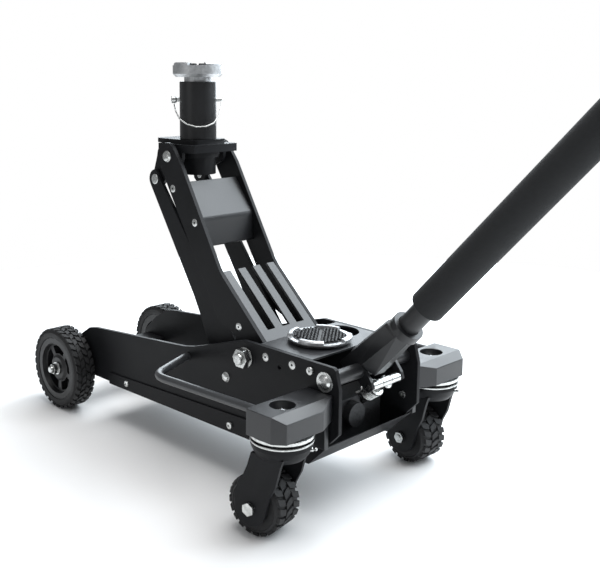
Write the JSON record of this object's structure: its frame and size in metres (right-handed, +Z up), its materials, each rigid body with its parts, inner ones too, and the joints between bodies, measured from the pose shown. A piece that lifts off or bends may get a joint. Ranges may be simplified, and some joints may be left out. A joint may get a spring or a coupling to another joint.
{
  "type": "trolley jack",
  "caption": "Wheeled hydraulic floor jack with a raised lifting arm, removable saddle post, swivel rear casters and a long pump handle.",
  "frame": {"origin": "centre of the bounding box, on the floor the wheels stand on", "axes": "+X towards the handle end, +Y to the right-hand side seen from behind the saddle end, +Z up"},
  "size_m": [1.5458, 0.4842, 1.0564],
  "materials": {
    "black_coat": "black powder coat, semi gloss",
    "cast_dark": "dark machined casting",
    "zinc": "bright zinc plate",
    "cast_bright": "bare cast steel",
    "rubber": "black rubber",
    "tyre": "black solid rubber",
    "plastic": "black moulded plastic",
    "foam": "closed cell foam"
  },
  "bodies": {
    "chassis": {"side_plate_left": "black_coat", "side_plate_right": "black_coat", "skid_plate": "black_coat", "top_cover": "black_coat", "front_cross_plate": "black_coat", "front_axle": "zinc", "front_axle_nut_left": "zinc", "front_axle_nut_right": "zinc", "shoulder_left": "black_coat", "shoulder_right": "black_coat", "carry_bar_left": "black_coat", "carry_bar_right": "black_coat", "caster_top_ring_left": "zinc", "caster_top_ring_right": "zinc", "caster_kingpin_left": "zinc", "caster_kingpin_right": "zinc", "arm_pivot_bolt": "zinc", "arm_pivot_nut": "zinc", "link_pivot_bolt_left": "zinc", "link_pivot_bolt_right": "zinc", "handle_pivot_bolt_left": "zinc", "handle_pivot_bolt_right": "zinc", "pump_block": "cast_dark", "ram_cylinder": "cast_dark", "pump_cylinder": "zinc"},
    "front_wheel_left": {"front_tyre_left": "tyre", "front_hub_left": "plastic"},
    "front_wheel_right": {"front_tyre_right": "tyre", "front_hub_right": "plastic"},
    "caster_yoke_left": {"caster_fork_left": "black_coat", "caster_axle_bolt_left": "zinc"},
    "caster_yoke_right": {"caster_fork_right": "black_coat", "caster_axle_bolt_right": "zinc"},
    "caster_roll_left": {"caster_wheel_left": "tyre"},
    "caster_roll_right": {"caster_wheel_right": "tyre"},
    "arm": {"arm_plate_left": "black_coat", "arm_plate_right": "black_coat", "arm_cross_box": "black_coat", "arm_web": "black_coat", "arm_lever": "cast_dark", "arm_head_pin_left": "zinc", "arm_head_pin_right": "zinc"},
    "links": {"lift_link_left": "black_coat", "lift_link_right": "black_coat", "link_head_pin_left": "zinc", "link_head_pin_right": "zinc"},
    "bracket": {"saddle_bracket": "black_coat"},
    "post": {"extension_post": "black_coat", "lock_pin": "zinc"},
    "pin_hoop": {"lock_pin_hoop": "zinc"},
    "saddle_top": {"saddle": "cast_bright", "saddle_pad": "rubber"},
    "spare_top": {"spare_saddle": "cast_bright", "spare_saddle_pad": "rubber"},
    "ram": {"ram_piston": "zinc"},
    "handle": {"handle_yoke": "black_coat", "pump_roller": "zinc", "handle_tube": "black_coat", "handle_foam": "foam"},
    "plunger": {"pump_plunger": "zinc"}
  },
  "joints": [
    {"name": "front_left_roll", "type": "hinge", "parent": "chassis", "child": "front_wheel_left", "pos_m": [-0.68786, -0.1372, 0.085], "axis": [0, 1, 0], "continuous": true},
    {"name": "front_right_roll", "type": "hinge", "parent": "chassis", "child": "front_wheel_right", "pos_m": [-0.68786, 0.1372, 0.085], "axis": [0, 1, 0], "continuous": true},
    {"name": "caster_left_swivel", "type": "hinge", "parent": "chassis", "child": "caster_yoke_left", "pos_m": [0.01294, -0.1912, 0.15], "axis": [0, 0, 1], "continuous": true},
    {"name": "caster_right_swivel", "type": "hinge", "parent": "chassis", "child": "caster_yoke_right", "pos_m": [0.01294, 0.1912, 0.15], "axis": [0, 0, 1], "continuous": true},
    {"name": "caster_left_roll", "type": "hinge", "parent": "caster_yoke_left", "child": "caster_roll_left", "pos_m": [-0.01927, -0.19682, 0.049], "axis": [-0.1719, 0.9851, 0], "continuous": true},
    {"name": "caster_right_roll", "type": "hinge", "parent": "caster_yoke_right", "child": "caster_roll_right", "pos_m": [-0.01968, 0.19348, 0.049], "axis": [0.0698, 0.9976, 0], "continuous": true},
    {"name": "arm_lift", "type": "hinge", "parent": "chassis", "child": "arm", "pos_m": [-0.15786, 0, 0.225], "axis": [0, 1, 0], "range_deg": [-54, 6]},
    {"name": "link_swing", "type": "hinge", "parent": "chassis", "child": "links", "pos_m": [-0.20786, 0, 0.177], "axis": [0, 1, 0], "range_deg": [-54, 6]},
    {"name": "bracket_level", "type": "hinge", "parent": "arm", "child": "bracket", "pos_m": [-0.40785, 0, 0.54997], "axis": [0, 1, 0], "range_deg": [-6, 54]},
    {"name": "ram_stroke", "type": "slide", "parent": "chassis", "child": "ram", "axis": [-1, 0, 0], "range_m": [-0.0815, 0.0095]},
    {"name": "post_lift", "type": "slide", "parent": "bracket", "child": "post", "axis": [0, 0, 1], "range_m": [0, 0.08]},
    {"name": "saddle_swivel", "type": "hinge", "parent": "post", "child": "saddle_top", "pos_m": [-0.40386, 0, 0.7], "axis": [0, 0, 1], "continuous": true},
    {"name": "hoop_swing", "type": "hinge", "parent": "post", "child": "pin_hoop", "pos_m": [-0.40386, 0, 0.655], "axis": [-0.6794, -0.7337, 0], "range_deg": [0, 80]},
    {"name": "spare_lift", "type": "slide", "parent": "chassis", "child": "spare_top", "axis": [0, 0, 1], "range_m": [0, 0.06]},
    {"name": "handle_pump", "type": "hinge", "parent": "chassis", "child": "handle", "pos_m": [0.02274, 0, 0.2275], "axis": [0, 1, 0], "range_deg": [-30, 40]},
    {"name": "plunger_stroke", "type": "slide", "parent": "chassis", "child": "plunger", "axis": [-0.8018, 0, -0.5976], "range_m": [-0.0155, 0.0205]}
  ],
  "couplings": [
    {"joint": "link_swing", "follows": "arm_lift", "ratio": 1},
    {"joint": "bracket_level", "follows": "arm_lift", "ratio": -1},
    {"joint": "ram_stroke", "follows": "arm_lift", "m_per_rad": 0.085944},
    {"joint": "plunger_stroke", "follows": "handle_pump", "m_per_rad": 0.0287}
  ]
}
